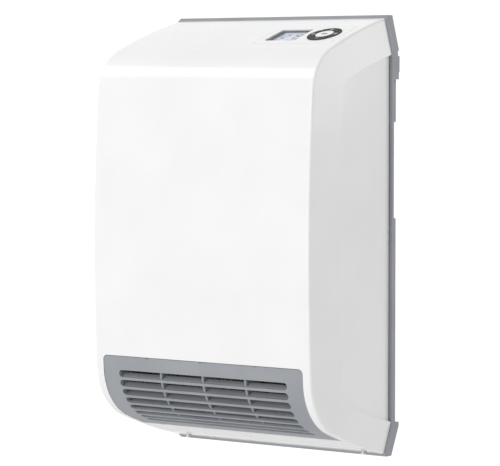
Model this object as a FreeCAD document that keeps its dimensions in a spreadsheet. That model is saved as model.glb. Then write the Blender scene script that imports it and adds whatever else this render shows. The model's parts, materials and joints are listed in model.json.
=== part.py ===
import FreeCAD, Part
import math
import os
import re
from types import SimpleNamespace

import Sketcher
from FreeCAD import Placement, Rotation, Vector

# A wall-mounted fan convector heater. X runs to the heater's left-hand side as the wall sees it
# (the viewer's right), -Y is the front and +Z is up. The wall is the plane Y = 0, and the origin
# is the middle of the four fixing holes. Heights below are given above the bottom edge.

SIZES = {
    # the whole heater
    "width": 275.0,
    "height": 428.0,
    "depth": 139.5,
    "fixing_height": 330.0,
    # side outline of the cover
    "rim_depth": 12.0,
    "top_rear": 424.9,
    "under_rear": 2.9,
    "top_slope": 13.4,
    "under_slope": 13.1,
    "sweep_radius": 600.0,
    "shoulder_radius": 47.0,
    "under_radius": 58.0,
    "bow_radius": 1950.0,
    "bow_height": 200.0,
    # cover sheet, side bands and side panels
    "wall": 2.6,
    "sheet_half": 127.6,
    "sheet_lean": 2.2,
    "side_half": 136.4,
    "side_lean": 0.53,
    "sunk_half": 133.3,
    "sunk_lean": 2.3,
    "sunk_inset": 0.6,
    "edge_round": 2.5,
    "top_band": 33.6,
    "front_band": 41.6,
    "under_band": 30.4,
    "crease_radius": 12.0,
    "groove_x": -6.0,
    "groove_width": 1.0,
    "groove_depth": 0.8,
    "groove_front": 64.0,
    "groove_rear": 27.0,
    # back tray
    "corner_half": 128.8,
    "corner_top": 391.0,
    "corner_bottom": 30.0,
    "tray_wall": 3.0,
    "rim_slope": 3.5,
    "rim_hole_height": 364.0,
    "rim_hole_back": 7.3,
    "rim_hole_radius": 1.0,
    "vent_low": 62.0,
    "vent_height": 5.0,
    "vent_corner": 2.4,
    "vent_rows": 12,
    "vent_span": 99.0,
    "cover_screw_x": 110.0,
    "cover_screw_back": 20.0,
    "tab_half": 8.0,
    "tab_height": 12.0,
    "tab_thick": 4.0,
    "bracket_space": 8.0,
    "tray_plate": 2.5,
    # outlet
    "outlet_top": 94.5,
    "outlet_rear": 73.0,
    "outlet_half": 123.5,
    "outlet_corner": 5.0,
    "gap": 0.5,
    "grille_skin": 2.7,
    "slot_rows": 8,
    "slot_pitch": 10.0,
    "slot_width": 7.2,
    "slot_half": 104.0,
    "first_slot": 17.8,
    "louvre_depth": 7.5,
    "louvre_thick": 1.6,
    "rib_pitch": 52.3,
    "rib_width": 2.4,
    "rib_inset": 2.8,
    "notch_pitch": 66.7,
    "notch_width": 3.0,
    "notch_height": 0.9,
    "rib_depth": 12.0,
    # control panel on the sloping top
    "panel_left": 27.0,
    "panel_right": 120.0,
    "panel_back": 67.0,
    "panel_length": 52.0,
    "panel_corner": 5.0,
    "panel_gap": 0.35,
    "window_left": 35.8,
    "window_width": 37.0,
    "window_length": 33.5,
    "window_corner": 2.0,
    "lens_thick": 1.4,
    "module_gap": 0.4,
    "ring_centre": 97.0,
    "ring_radius": 17.1,
    "ring_inner": 9.4,
    "centre_radius": 9.0,
    "key_gap": 0.25,
    "quadrant_gap": 0.25,
    "key_proud": 0.6,
    "key_thick": 2.2,
    "key_stem": 1.5,
    "stem_end": 6.1,
    "board_depth": 8.3,
    "board_thick": 1.6,
    "carrier_gap": 0.9,
    # tangential fan
    "fan_back": 56.0,
    "fan_height": 106.0,
    "drum_radius": 28.0,
    "drum_start": -103.0,
    "drum_length": 203.0,
    "disc_thick": 1.2,
    "blade_thick": 0.8,
    "blade_depth": 7.0,
    "blade_count": 26,
    "shaft_radius": 3.0,
    "running_gap": 0.05,
    "scroll_radius": 32.0,
    "sheet_metal": 1.2,
    "plate_half": 106.0,
    "plate_thick": 1.5,
    "flange_low": 70.0,
    "flange_high": 135.0,
    "flange_width": 10.0,
    # shaded-pole motor
    "rotor_radius": 13.0,
    "air_gap": 0.4,
    "stack": 13.0,
    "stack_start": 113.1,
    "stack_half": 26.0,
    "strap_thick": 1.6,
    "strap_height": 16.0,
    "bush_radius": 6.0,
    "bush_length": 4.4,
    "motor_screw": 1.6,
    "motor_screw_offset": 22.0,
    # heating core and inner guard, both square to the air flow
    "flow_slope": 36.0,
    "core_back": 90.0,
    "core_height": 81.0,
    "frame_low": 36.5,
    "frame_high": 27.5,
    "frame_depth": 14.0,
    "frame_border": 8.0,
    "core_depth": 11.0,
    "fin_pitch": 4.0,
    "fin_thick": 0.8,
    "core_bar": 5.0,
    "guard_gap": 19.0,
    "guard_thick": 3.0,
    # wall bracket
    "bracket_half": 92.0,
    "bracket_bottom": 272.0,
    "bracket_height": 116.0,
    "bracket_thick": 1.5,
    "flange": 6.0,
    "fixing_x": 150.0,
    "fixing_z": 80.0,
    "fixing_hole": 2.75,
    "hook_offset": 60.0,
    "hook_width": 18.0,
    "hook_rise": 10.0,
    "hook_height": 355.0,
    "hook_play": 3.0,
    "hook_lift": 15.0,
    # power board and terminals
    "power_left": -105.0,
    "power_bottom": 200.0,
    "power_width": 120.0,
    "power_height": 116.0,
    "boss_radius": 4.0,
    "boss_length": 5.5,
    "screw_radius": 1.5,
    "head_radius": 2.8,
    "head_height": 2.0,
    "cable_radius": 4.0,
    "grommet_radius": 8.0,
    "grommet_flange": 11.0,
    "cable_x": 70.0,
    "cable_height": 188.0,
    "shield_height": 172.0,
}

# recesses in the tray's edge: bottom, top and depth from the wall
EDGE_RECESSES = ((34, 366, "rim_depth / 2"), (232, 325, "rim_depth * 3 / 4"), (365, 373, "1"),
                 (388.5, 393.3, "2.5"))
# the vents' four columns in the tray: left and right
VENT_COLUMNS = ((-96, -52), (-46, -2), (2, 46), (52, 96))
# the side outline of the fan's end plates in (Y, Z), and of the guide over the drum
DUCT_SIDE = ((-14, 145), (-88, 145), (-128, 94), (-127, 72), (-120, 54), (-108, 42), (-84, 36), (-14, 60))
GUIDE_SIDE = ((-86, 117), (-129, 94), (-129, 95.6), (-87, 118.5), (-87, 136), (-86, 136))
# blocks on the power board: length, thickness and height, then where each one stands on the board
BOARD_BLOCKS = {
    "heater_relays": ((28, 20, 13), ((12, 60), (12, 80))),
    "filter_capacitor": ((26, 18, 12), ((52, 84),)),
    "power_module": ((34, 17, 22), ((50, 52),)),
    "board_connectors": ((16, 11, 8), ((60, 14), (80, 14))),
}
# the heat sink on the same board: foot's length, height of foot and fins, reach, and the fins
SINK_PLACE = (12, 20)
SINK_LENGTH, SINK_REACH, SINK_FOOT, SINK_FIN = 40, 26, 4, 18
FIN_THICK, FIN_PITCH, FIN_COUNT = 1.6, 6.4, 7
# the terminal block has three poles, each with a screw above and one below
BLOCK_HEIGHT, BLOCK_SIZE = 214, (48, 20, 24)
POLE_START, POLE_PITCH, POLE_ROWS = 8, 16, (6, 18)
CLAMP_HEIGHT, CLAMP_SIZE, CLAMP_SCREW_X = 200, (26, 9, 9), 9.5
# how far the scroll's straight part runs forwards from the drum
SCROLL_RUN = 62

doc = FreeCAD.newDocument("fan_convector_heater")
sheet = doc.addObject("Spreadsheet::Sheet", "dims")
for row, (alias, number) in enumerate(SIZES.items(), start=1):
    sheet.set(f"A{row}", alias)
    sheet.set(f"B{row}", str(number))
    sheet.setAlias(f"B{row}", alias)
doc.recompute()
d = SimpleNamespace(**{alias: float(sheet.get(alias)) for alias in SIZES})

SUBPARTS = []
RIGHT = (1, 0, 0)
FORWARD = (0, -1, 0)
UP = (0, 0, 1)


# ---------------------------------------------------------------- frames and helpers


def frame_at(x, y, z, tilt=0.0):
    """A frame whose Z is counted from the heater's bottom edge, tilted about X."""
    return Placement(Vector(x, y, z - d.fixing_height), Rotation(Vector(1, 0, 0), tilt))


BASE = frame_at(0, 0, 0)
SIDE_ON = Rotation(0.5, 0.5, 0.5, 0.5)
FLOW = frame_at(0, -d.core_back, d.core_height, d.flow_slope)
FAN = frame_at(0, -d.fan_back, d.fan_height)


def sweep_centre(slope, rear, up):
    """The centre of the long arc of the top (up = 1) or the underside (up = -1), in (Y, Z)."""
    lean = math.radians(slope)
    return Vector(math.sin(lean) * d.sweep_radius - d.rim_depth, rear - up * math.cos(lean) * d.sweep_radius)


TOP_CENTRE = sweep_centre(d.top_slope, d.top_rear, 1)
UNDER_CENTRE = sweep_centre(d.under_slope, d.under_rear, -1)
PANEL_SLOPE = math.asin((d.panel_back + TOP_CENTRE.x) / d.sweep_radius)
PANEL_HEIGHT = TOP_CENTRE.y + math.cos(PANEL_SLOPE) * d.sweep_radius
PANEL = frame_at(0, -d.panel_back, PANEL_HEIGHT, math.degrees(PANEL_SLOPE))
IN_BASE = BASE.inverse() * PANEL


def bound(item, **sizes):
    """Bind properties to sheet cells: every word in an expression is a cell's alias."""
    for name, text in sizes.items():
        item.setExpression(name, re.sub("[a-z_]+", lambda word: "dims." + word.group(), text))
    return item


def subpart(item, label):
    item.Label = label
    SUBPARTS.append(item)
    return item


def box(length, width, height, corner, frame=BASE):
    item = bound(doc.addObject("Part::Box", "box"), Length=length, Width=width, Height=height)
    item.Placement = frame * Placement(Vector(*corner), Rotation())
    return item


def rod(radius, length, start, direction, frame=BASE):
    item = bound(doc.addObject("Part::Cylinder", "rod"), Radius=radius, Height=length)
    item.Placement = frame * Placement(Vector(*start), Rotation(Vector(0, 0, 1), Vector(*direction)))
    return item


def fused(*pieces):
    item = doc.addObject("Part::MultiFuse", "fused")
    item.Shapes = list(pieces)
    return item


def cut(base, *tools):
    item = doc.addObject("Part::Cut", "cut")
    item.Base = base
    item.Tool = tools[0] if len(tools) == 1 else fused(*tools)
    return item


def screw(length, start, direction, frame=BASE):
    """A pan-head screw whose head sits at its start and whose shank runs along its direction."""
    along = Vector(*direction)
    shank = rod("screw_radius", length, start, direction, frame)
    head = rod("head_radius", "head_height", Vector(*start) - along * d.head_height, direction, frame)
    return fused(shank, head)


def shaped(label, shape, frame):
    """A sub-part whose shape is worked out from the sheet's sizes in a frame of its own."""
    item = doc.addObject("Part::Feature", label)
    item.Shape = shape
    item.Placement = frame
    return subpart(item, label)


def rectangle(left, low, right, high):
    corners = [Vector(left, low), Vector(right, low), Vector(right, high), Vector(left, high)]
    return polygon(corners)


def polygon(corners):
    return [Part.LineSegment(a, b) for a, b in zip(corners, corners[1:] + corners[:1])]


def arc(centre, radius, start, end):
    """An arc that turns anticlockwise between two angles in degrees."""
    circle = Part.Circle(centre, Vector(0, 0, 1), radius)
    return Part.ArcOfCircle(circle, math.radians(start), math.radians(end))


def rounded_rectangle(left, low, right, high, radius):
    inner = [
        Vector(left + radius, low + radius),
        Vector(right - radius, low + radius),
        Vector(right - radius, high - radius),
        Vector(left + radius, high - radius),
    ]
    edges = []
    for corner, start in zip(range(4), (180, 270, 0, 90)):
        edges.append(arc(inner[corner], radius, start, start + 90))
    joins = [edge.EndPoint for edge in edges], [edge.StartPoint for edge in edges]
    for here, after in zip(joins[0], joins[1][1:] + joins[1][:1]):
        edges.append(Part.LineSegment(here, after))
    return edges


def wire(edges):
    return Part.Wire(Part.__sortEdges__([edge.toShape() for edge in edges]))


def new_body(label, frame=BASE):
    body = doc.addObject("PartDesign::Body", label)
    body.Placement = frame
    return subpart(body, label)


def sketch(body, role, edges, offset=Placement()):
    """A sketch on one of the body's own planes, its edges joined where their ends meet."""
    item = body.newObject("Sketcher::SketchObject", "Sketch")
    plane = next(feature for feature in body.Origin.OriginFeatures if feature.Role == role)
    item.AttachmentSupport = [(plane, "")]
    item.MapMode = "FlatFace"
    item.AttachmentOffset = offset
    item.addGeometry(edges, False)
    ends = []
    for index, edge in enumerate(edges):
        if not isinstance(edge, Part.Circle):
            ends += [(index, 1, edge.StartPoint), (index, 2, edge.EndPoint)]
    for place, (first, first_end, point) in enumerate(ends):
        for second, second_end, other in ends[place + 1:]:
            if first != second and point.isEqual(other, 1e-6):
                item.addConstraint(Sketcher.Constraint("Coincident", first, first_end, second, second_end))
    return item


def shift(distance, turn=Rotation()):
    return Placement(Vector(0, 0, distance), turn)


def pad(body, role, edges, length, offset=Placement()):
    item = body.newObject("PartDesign::Pad", "Pad")
    item.Profile = sketch(body, role, edges, offset)
    return bound(item, Length=length)


def pocket(body, role, edges, length, offset=Placement(), reverse=False):
    """A pocket against the sketch's normal, or along it when reversed."""
    item = body.newObject("PartDesign::Pocket", "Pocket")
    item.Profile = sketch(body, role, edges, offset)
    item.Reversed = reverse
    return bound(item, Length=length)


def leaning(x, lean):
    """An upright plane that crosses the wall at X and turns outwards towards the front."""
    return shift(x, Rotation(Vector(0, 1, 0), lean))


def loft(body, kind, sections):
    """A ruled loft between sketches on upright planes, given as X at the wall, lean and edges."""
    item = body.newObject("PartDesign::" + kind, kind)
    sketches = [sketch(body, "YZ_Plane", edges, leaning(x, lean)) for x, lean, edges in sections]
    item.Profile = sketches[0]
    item.Sections = sketches[1:]
    item.Ruled = True
    return item


def mirrored(body, feature):
    item = body.newObject("PartDesign::Mirrored", "Mirrored")
    item.Originals = [feature]
    plane = next(part for part in body.Origin.OriginFeatures if part.Role == "YZ_Plane")
    item.MirrorPlane = (plane, [""])
    body.Tip = item
    return item


# ---------------------------------------------------------------- side outline


def crossing(first, first_radius, second, second_radius, up):
    """Where two circles cross: the higher point for up = 1, the lower one for up = -1."""
    across = second - first
    along = (across.dot(across) + first_radius**2 - second_radius**2) / (2 * across.Length)
    aside = math.sqrt(first_radius**2 - along**2)
    unit = across * (1 / across.Length)
    square = Vector(-unit.y, unit.x)
    return max((first + unit * along + square * side for side in (-aside, aside)),
               key=lambda point: point.y * up)


def bearing(centre, point):
    """The direction from a centre to a point, in degrees from 0 to 360."""
    spoke = point - centre
    return math.degrees(math.atan2(spoke.y, spoke.x)) % 360


def side_curve(top_inset, front_inset, under_inset, shoulder, under, rear):
    """The cover's side outline in (Y, Z), set in from its outer surface, from the rear of the top
    round to the rear of the underside: five arcs as (centre, radius, start angle, end angle)."""
    bow_centre = Vector(d.bow_radius - d.depth, d.bow_height)
    bow = d.bow_radius - front_inset
    top_sweep, low_sweep = d.sweep_radius - top_inset, d.sweep_radius - under_inset
    top = crossing(bow_centre, bow - shoulder, TOP_CENTRE, top_sweep - shoulder, 1)
    low = crossing(bow_centre, bow - under, UNDER_CENTRE, low_sweep - under, -1)
    top_start = math.degrees(math.acos((rear - TOP_CENTRE.x) / top_sweep))
    low_end = 360 - math.degrees(math.acos((rear - UNDER_CENTRE.x) / low_sweep))
    bends = [bearing(TOP_CENTRE, top), bearing(bow_centre, top), bearing(bow_centre, low),
             bearing(UNDER_CENTRE, low)]
    return [
        (TOP_CENTRE, top_sweep, top_start, bends[0]),
        (top, shoulder, bends[0], bends[1]),
        (bow_centre, bow, bends[1], bends[2]),
        (low, under, bends[2], bends[3]),
        (UNDER_CENTRE, low_sweep, bends[3], low_end),
    ]


def side_outline(top_inset, front_inset, under_inset, shoulder, under, rear):
    """The closed side outline, from a straight rear line forwards."""
    curve = side_curve(top_inset, front_inset, under_inset, shoulder, under, rear)
    edges = [arc(*values) for values in curve]
    return edges + [Part.LineSegment(edges[-1].EndPoint, edges[0].StartPoint)]


def skin_outline(inset, rear):
    """The outline a given depth under the outer sheet, parallel to it all round."""
    return side_outline(inset, inset, inset, d.shoulder_radius - inset, d.under_radius - inset, rear)


def crease_outline(inset, rear):
    """The outline of the side panel, where the side band ends."""
    radius = d.crease_radius
    return side_outline(
        d.top_band + inset, d.front_band + inset, d.under_band + inset, radius, radius, rear
    )


def outlet_point(distance, inset):
    """A point a given distance along the outer curve below the outlet's top edge, with the
    outward normal there, both in (Y, Z)."""
    curve = side_curve(0, 0, 0, d.shoulder_radius, d.under_radius, -d.rim_depth)
    bow_centre, bow, _, bow_end = curve[2]
    start = 180 + math.degrees(math.asin((d.bow_height - d.outlet_top) / bow))
    left = distance
    for centre, radius, begin, end in ((bow_centre, bow, start, bow_end), curve[3], curve[4]):
        length = math.radians(end - begin) * radius
        if left <= length:
            angle = math.radians(begin) + left / radius
            normal = Vector(math.cos(angle), math.sin(angle))
            return centre + normal * (radius - inset), normal
        left -= length
    raise ValueError("the point lies behind the rim")


def sector(centre, outer, inner, start, end):
    """A closed piece of a ring between two angles in degrees."""
    arcs = [arc(centre, radius, start, end) for radius in (outer, inner)]
    return arcs + [
        Part.LineSegment(arcs[0].StartPoint, arcs[1].StartPoint),
        Part.LineSegment(arcs[0].EndPoint, arcs[1].EndPoint),
    ]


# ---------------------------------------------------------------- casing


def casing_sections(sheet, side, rear, inset):
    """The lofts' four sections: crease, sheet edge, sheet edge and crease, from left to right."""
    sections = []
    for (half, lean), outline in ((side, crease_outline), (sheet, skin_outline)):
        edges = outline(inset if outline is skin_outline else 0, rear / math.cos(math.radians(lean)))
        sections.append((half, lean, edges))
    left = [(-half, -lean, edges) for half, lean, edges in sections]
    return left + sections[::-1]


def sheet_edges(shape, rear):
    """The names of the edges where the side bands meet the cover's sheet."""
    slope = math.tan(math.radians(d.sheet_lean))
    names = []
    for number, edge in enumerate(shape.Edges, start=1):
        ends = [vertex.Point for vertex in edge.Vertexes]
        on_sheet = all(abs(abs(end.x) + end.y * slope - d.sheet_half) < 1e-4 for end in ends)
        one_side = ends[0].x * ends[-1].x > 0
        at_rear = all(abs(end.y - rear) < 1e-4 for end in ends)
        if on_sheet and one_side and not at_rear:
            names.append(f"Edge{number}")
    return names


def make_front_cover():
    cover = new_body("front_cover")
    rear = -d.rim_depth
    loft(cover, "AdditiveLoft", casing_sections(
        (d.sheet_half, d.sheet_lean), (d.side_half, d.side_lean), rear, 0))
    shell = loft(cover, "SubtractiveLoft", casing_sections(
        (d.sheet_half - d.wall, d.sheet_lean), (d.sunk_half - d.wall, d.sunk_lean), rear + 1, d.wall))
    doc.recompute()
    fillet = cover.newObject("PartDesign::Fillet", "Fillet")
    fillet.Base = (shell, sheet_edges(shell.Shape, rear))
    bound(fillet, Radius="edge_round")
    outlet = rounded_rectangle(
        -d.outlet_half, -d.outlet_top, d.outlet_half, d.outlet_top, d.outlet_corner)
    pocket(cover, "XZ_Plane", outlet, "depth + rim_depth - outlet_rear", shift(d.depth + d.rim_depth))
    panel = rounded_rectangle(
        d.panel_left, -d.panel_length / 2, d.panel_right, d.panel_length / 2, d.panel_corner)
    pocket(cover, "XY_Plane", panel, "wall * 3", IN_BASE * shift(1))
    pocket(cover, "XY_Plane", cover_screw_circles(), "corner_bottom", reverse=True)
    ends = [360 - math.degrees(math.acos((-back - UNDER_CENTRE.x) / d.sweep_radius))
            for back in (d.groove_front, d.groove_rear)]
    groove = sector(UNDER_CENTRE, d.sweep_radius + 1, d.sweep_radius - d.groove_depth, *ends)
    pocket(cover, "YZ_Plane", groove, "groove_width", shift(d.groove_x + d.groove_width / 2))
    recess = pocket(
        cover, "YZ_Plane", crease_outline(d.sunk_inset, rear + 1), "wall * 2",
        leaning(d.sunk_half, d.sunk_lean), reverse=True)
    mirrored(cover, recess)


def cover_screw_circles():
    return [Part.Circle(Vector(x, -d.cover_screw_back), Vector(0, 0, 1), d.screw_radius)
            for x in (-d.cover_screw_x, d.cover_screw_x)]


def tray_outline(inset):
    half, corner = d.width / 2 - inset, d.corner_half - inset
    right = [
        Vector(corner, inset), Vector(half, d.corner_bottom), Vector(half, d.corner_top),
        Vector(corner, d.height - inset)]
    left = [Vector(-point.x, point.y) for point in reversed(right)]
    return polygon(right + left)


def make_back_tray():
    tray = new_body("back_tray")
    pad(tray, "XZ_Plane", tray_outline(0), "rim_depth")
    inner = tray_outline(d.tray_wall)
    pocket(tray, "XZ_Plane", inner, "bracket_space", reverse=True)
    pocket(tray, "XZ_Plane", inner, "rim_depth - bracket_space - tray_plate", shift(d.rim_depth))
    front, ridge = -d.rim_depth, -d.rim_depth + d.rim_slope
    for edge, foot, beyond in ((d.height, d.top_rear, d.height + 1), (0, d.under_rear, -1)):
        slope = [Vector(ridge, beyond), Vector(ridge, edge), Vector(front, foot),
                 Vector(front - 1, foot), Vector(front - 1, beyond)]
        pocket(tray, "YZ_Plane", polygon(slope), "width", shift(d.width / 2))
    edge = d.width / 2
    for low, high, depth in EDGE_RECESSES:
        relief = rectangle(edge - d.tray_wall - 1, low, edge + 1, high)
        relief += rectangle(-edge - 1, low, -edge + d.tray_wall + 1, high)
        pocket(tray, "XZ_Plane", relief, depth, reverse=True)
    hole = [Part.Circle(Vector(-d.rim_hole_back, d.rim_hole_height), Vector(0, 0, 1), d.rim_hole_radius)]
    mirrored(tray, pocket(tray, "YZ_Plane", hole, "tray_wall", shift(edge)))
    slots = []
    for left, right in VENT_COLUMNS:
        slots += rounded_rectangle(left, d.vent_low, right, d.vent_low + d.vent_height, d.vent_corner)
    first_row = pocket(tray, "XZ_Plane", slots, "rim_depth", reverse=True)
    rows = tray.newObject("PartDesign::LinearPattern", "Rows")
    rows.Originals = [first_row]
    upright = next(part for part in tray.Origin.OriginFeatures if part.Role == "Z_Axis")
    rows.Direction = (upright, [""])
    rows.Length = d.vent_span
    rows.Occurrences = int(d.vent_rows)
    tray.Tip = rows
    hooks = []
    for side in (-1, 1):
        middle, half = side * d.hook_offset, d.hook_width / 2 + 1
        high = d.hook_height + d.hook_rise + d.hook_lift
        hooks += rectangle(middle - half, d.hook_height - d.hook_play, middle + half, high)
    pocket(tray, "XZ_Plane", hooks, "rim_depth", reverse=True)
    entry = [Part.Circle(Vector(d.cable_x, d.cable_height), Vector(0, 0, 1), d.grommet_radius)]
    pocket(tray, "XZ_Plane", entry, "rim_depth", reverse=True)
    bosses = [Part.Circle(Vector(x, z), Vector(0, 0, 1), d.boss_radius) for x, z in board_corners()]
    pad(tray, "XZ_Plane", bosses, "boss_length", shift(d.bracket_space + d.tray_plate))
    tabs = []
    for x in (-d.cover_screw_x, d.cover_screw_x):
        tabs += rectangle(x - d.tab_half, d.tab_height, x + d.tab_half, d.tab_height + d.tab_thick)
    pad(tray, "XZ_Plane", tabs, "boss_length * 3", shift(d.bracket_space + d.tray_plate))
    pocket(tray, "XY_Plane", cover_screw_circles(), "corner_bottom", reverse=True)


def board_corners():
    inset = 6
    left, right = d.power_left + inset, d.power_left + d.power_width - inset
    low, high = d.power_bottom + inset, d.power_bottom + d.power_height - inset
    return [(x, z) for x in (left, right) for z in (low, high)]


def make_wall_bracket():
    half, low = d.bracket_half, d.bracket_bottom
    high = low + d.bracket_height - d.bracket_thick
    plate = box("bracket_half * 2", "bracket_thick", "bracket_height", (-half, -d.bracket_thick, low))
    flanges = [
        box("bracket_half * 2", "flange", "bracket_thick", (-half, -d.flange, z)) for z in (low, high)]
    hooks = []
    for side in (-1, 1):
        left = side * d.hook_offset - d.hook_width / 2
        hooks.append(box("hook_width", "rim_depth + bracket_thick", "bracket_thick",
                         (left, -d.rim_depth - d.bracket_thick, d.hook_height)))
        hooks.append(box("hook_width", "bracket_thick", "hook_rise",
                         (left, -d.rim_depth - d.bracket_thick, d.hook_height)))
    holes = []
    for x in (-d.fixing_x / 2, d.fixing_x / 2):
        for z in (-d.fixing_z / 2, d.fixing_z / 2):
            holes.append(rod("fixing_hole", "flange", (x, 1, d.fixing_height + z), FORWARD))
    window = box("hook_offset", "flange", "fixing_z / 2",
                 (-d.hook_offset / 2, -d.flange + 2, d.fixing_height - d.fixing_z / 4))
    subpart(cut(fused(plate, *flanges, *hooks), *holes, window), "wall_bracket")


# ---------------------------------------------------------------- outlet


def strip(inset, depth):
    """The band of the cover's outline between two depths, as a face in (Y, Z)."""
    outer = Part.Face(wire(skin_outline(inset, -d.rim_depth)))
    return outer.cut(Part.Face(wire(skin_outline(inset + depth, -d.rim_depth + 1))))


def make_outlet_grille():
    """The curved grille: a skin with long slots, parallel louvres behind its bars, upright ribs
    behind the louvres' front edges, and three latch notches along the top edge."""
    half = d.outlet_half - d.gap
    skin = strip(d.gap, d.grille_skin).extrude(Vector(0, 0, half * 2))
    skin.Placement = Placement(Vector(-half, 0, 0), SIDE_ON)
    top = d.outlet_top - d.gap
    corner = d.outlet_corner - d.gap
    window = Part.Face(wire(rounded_rectangle(-half, -top, half, top, corner)))
    window = window.extrude(Vector(0, 0, d.depth + 1 - d.outlet_rear - d.gap))
    window.Placement = Placement(Vector(0, -d.outlet_rear - d.gap, 0), Rotation(Vector(1, 0, 0), 90))
    holes, bars = [], []
    slot_outline = rounded_rectangle(
        -d.slot_half, -d.slot_width / 2, d.slot_half, d.slot_width / 2, d.slot_width / 2 - 0.01)
    louvre_half = d.slot_half + d.rib_width / 2
    for row in range(int(d.slot_rows) + 1):
        middle = d.first_slot + row * d.slot_pitch
        if row < d.slot_rows:
            point, normal = outlet_point(middle, d.grille_skin + 1)
            angle = math.degrees(math.atan2(normal.y, normal.x)) - 90
            slot = Part.Face(wire(slot_outline)).extrude(Vector(0, 0, d.grille_skin * 2 + 1))
            slot.Placement = turned_about_x(point, angle)
            holes.append(slot)
        point, _ = outlet_point(middle - d.slot_pitch / 2, d.grille_skin - 0.5)
        corner = Vector(-louvre_half, -d.louvre_thick / 2, -d.louvre_depth)
        bar = Part.makeBox(louvre_half * 2, d.louvre_thick, d.louvre_depth, corner)
        bar.Placement = turned_about_x(point, 90 + d.flow_slope)
        bars.append(bar)
    for step in (-1, 0, 1):
        holes.append(Part.makeBox(
            d.notch_width, d.wall + 2, d.notch_height * 2,
            Vector(step * d.notch_pitch - d.notch_width / 2, -d.depth, top - d.notch_height)))
    ribs = []
    first, _ = outlet_point(d.first_slot - d.slot_pitch / 2, 0)
    last, _ = outlet_point(d.first_slot + (d.slot_rows - 0.5) * d.slot_pitch, 0)
    bounds = Part.makeBox(d.width, d.depth + last.x, first.y, Vector(-d.width / 2, -d.depth, 0))
    for step in range(-2, 3):
        rib = strip(d.rib_inset, d.rib_depth - d.rib_inset).extrude(Vector(0, 0, d.rib_width))
        rib.Placement = Placement(
            Vector(step * d.rib_pitch - d.rib_width / 2, 0, 0), SIDE_ON)
        ribs.append(rib.common(bounds))
    grille = skin.common(window).cut(holes).fuse(bars + ribs).removeSplitter()
    shaped("outlet_grille", grille, BASE)


def turned_about_x(point, angle):
    """A placement at a (Y, Z) point, turned about X."""
    return Placement(Vector(0, point.x, point.y), Rotation(Vector(1, 0, 0), angle))


def make_inner_guard():
    """A finger guard square to the air flow: a frame, three ribs and thin wires."""
    low, high = -d.frame_low + d.guard_thick * 2, d.frame_high
    half = d.plate_half - 0.1
    y = -d.guard_gap
    pieces = []
    for x in (-half, half - 3):
        pieces.append(box("guard_thick", "guard_thick", f"{high - low}", (x, y, low), FLOW))
    for z in (low, high - 3):
        pieces.append(box("plate_half * 2 - 0.2", "guard_thick", "guard_thick", (-half, y, z), FLOW))
    for x in (-1, 0, 1):
        pieces.append(box("rib_width", "guard_thick", f"{high - low}",
                          (x * d.rib_pitch - d.rib_width / 2, y, low), FLOW))
    for step in range(1, 6):
        z = low + (high - low) * step / 6
        pieces.append(rod("sheet_metal / 2", "plate_half * 2 - 0.2", (-half, y + d.guard_thick / 2, z),
                          RIGHT, FLOW))
    subpart(fused(*pieces), "inner_guard")


# ---------------------------------------------------------------- control panel


def in_panel(body_label):
    return new_body(body_label, PANEL)


def make_control_panel():
    """The panel, cut from the same curved sheet as the cover round it, with its display."""
    gap, half = d.panel_gap, d.panel_length / 2
    outline = rounded_rectangle(d.panel_left + gap, -half + gap, d.panel_right - gap, half - gap,
                                d.panel_corner - gap)
    side, reach = d.window_width / 2, d.window_length / 2
    middle = d.window_left + side
    window = rounded_rectangle(middle - side, -reach, middle + side, reach, d.window_corner)
    ring = [Part.Circle(Vector(d.ring_centre, 0), Vector(0, 0, 1), d.ring_radius + d.key_gap)]
    columns = []
    for edges in (outline, window, ring):
        column = Part.Face(wire(edges)).extrude(Vector(0, 0, d.wall * 4))
        column.Placement = IN_BASE * shift(-d.wall * 2)
        columns.append(column)
    sheet_strip = strip(0, d.wall).extrude(Vector(0, 0, d.panel_right))
    sheet_strip.Placement = Placement(Vector(), SIDE_ON)
    shaped("control_panel", sheet_strip.common(columns[0]).cut(columns[1:]), BASE)
    side, reach = side - gap, reach - gap
    bezel = in_panel("display_bezel")
    outer = rounded_rectangle(middle - side, -reach, middle + side, reach, d.window_corner)
    opening = rounded_rectangle(middle - side + 3.4, -reach + 1.8, middle + side - 3.4, reach - 1.8, 1)
    pad(bezel, "XY_Plane", outer + opening, "wall - lens_thick", shift(-d.wall))
    lens = in_panel("display_window")
    pad(lens, "XY_Plane", outer, "lens_thick - 0.1", shift(-d.lens_thick))
    module = in_panel("display_module")
    inner = rectangle(middle - side - 1, -reach - 1, middle + side + 1, reach + 1)
    pad(module, "XY_Plane", inner, "wall", shift(-d.wall * 2 - d.module_gap))


def make_keys():
    """Four quarter-ring keys and a centre key, each with a stem over its own switch."""
    start = shift(d.key_proud - d.key_thick)
    centre = Vector(d.ring_centre, 0)
    stem_circle = (d.ring_radius + d.ring_inner) / 2
    for name, turn in (("key_right", 0), ("key_up", 90), ("key_left", 180), ("key_down", 270)):
        key = in_panel(name)
        edges = quarter_ring(centre, turn)
        pad(key, "XY_Plane", edges, "key_thick", start)
        angle = math.radians(turn)
        foot = centre + Vector(math.cos(angle), math.sin(angle)) * stem_circle
        stem = [Part.Circle(foot, Vector(0, 0, 1), d.key_stem)]
        pad(key, "XY_Plane", stem, "stem_end - key_thick + key_proud", shift(-d.stem_end))
    key = in_panel("key_centre")
    pad(key, "XY_Plane", [Part.Circle(centre, Vector(0, 0, 1), d.centre_radius)], "key_thick",
        shift(d.key_proud - d.key_thick))
    pad(key, "XY_Plane", [Part.Circle(centre, Vector(0, 0, 1), d.key_stem)],
        "stem_end - key_thick + key_proud", shift(-d.stem_end))


def quarter_ring(centre, turn):
    """A quarter of the ring around the given direction, short of its neighbours by a fine gap."""
    trim = math.degrees(math.asin(d.quadrant_gap / d.ring_inner))
    return sector(centre, d.ring_radius, d.ring_inner, turn - 45 + trim, turn + 45 - trim)


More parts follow.
